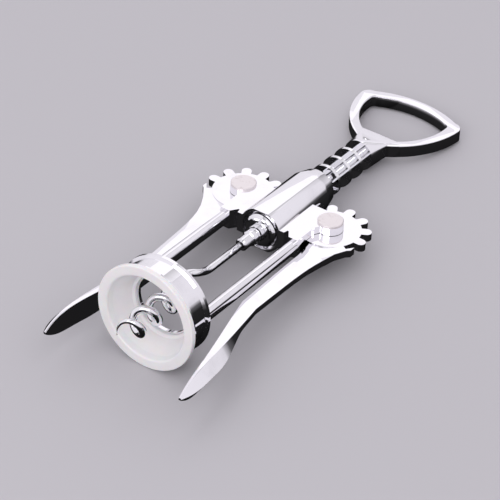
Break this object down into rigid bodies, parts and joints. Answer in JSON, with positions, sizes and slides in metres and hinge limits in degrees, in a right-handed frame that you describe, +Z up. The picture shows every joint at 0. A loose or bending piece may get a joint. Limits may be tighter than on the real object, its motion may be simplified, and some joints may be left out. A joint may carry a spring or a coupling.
{
  "type": "lever corkscrew",
  "caption": "Chromed lever corkscrew: open worm in a bell with a plastic liner, geared side levers on a ringed rack, and a bottle-opener bow as the handle.",
  "frame": {"origin": "on the ground, under the middle of the object's box", "axes": "+Z up from the ground it lies on; +Y towards the handle's end; +X to the right lever. The screw axis runs along +Y and dips by the resting tilt towards the handle."},
  "size_m": [0.0708, 0.1995, 0.0419],
  "materials": {
    "chrome_casting": "polished chrome plate on die-cast zinc",
    "chrome_steel": "bright plated steel",
    "liner_plastic": "smooth warm-white moulded plastic",
    "rivet_metal": "matte bare metal, faintly pink-grey"
  },
  "bodies": {
    "frame": {"frame_casting": "chrome_casting", "bell_liner": "liner_plastic", "left_rivet": "rivet_metal", "right_rivet": "rivet_metal"},
    "left_lever": {"left_lever": "chrome_casting"},
    "right_lever": {"right_lever": "chrome_casting"},
    "carriage": {"guide_washer": "chrome_steel"},
    "screw": {"rack_spindle": "chrome_steel", "opener_handle": "chrome_casting", "handle_pin": "chrome_steel", "worm": "chrome_steel", "worm_ferrule": "chrome_steel", "worm_pin": "chrome_steel"}
  },
  "joints": [
    {"name": "rack_slide", "type": "slide", "parent": "frame", "child": "carriage", "axis": [0, -0.9947, 0.1029], "range_m": [0, 0.02755]},
    {"name": "handle_spin", "type": "hinge", "parent": "carriage", "child": "screw", "pos_m": [0, -0.0118, 0.014], "axis": [0, 0.9947, -0.1029], "continuous": true},
    {"name": "right_lever_swing", "type": "hinge", "parent": "frame", "child": "right_lever", "pos_m": [0.01981, 0.0063, 0.01213], "axis": [0, 0.1029, 0.9947], "range_deg": [0, 108.8]},
    {"name": "left_lever_swing", "type": "hinge", "parent": "frame", "child": "left_lever", "pos_m": [-0.01981, 0.0063, 0.01213], "axis": [0, 0.1029, 0.9947], "range_deg": [-108.8, 0]}
  ],
  "couplings": [
    {"joint": "right_lever_swing", "follows": "rack_slide", "rad_per_m": 68.895},
    {"joint": "left_lever_swing", "follows": "rack_slide", "rad_per_m": -68.895}
  ]
}
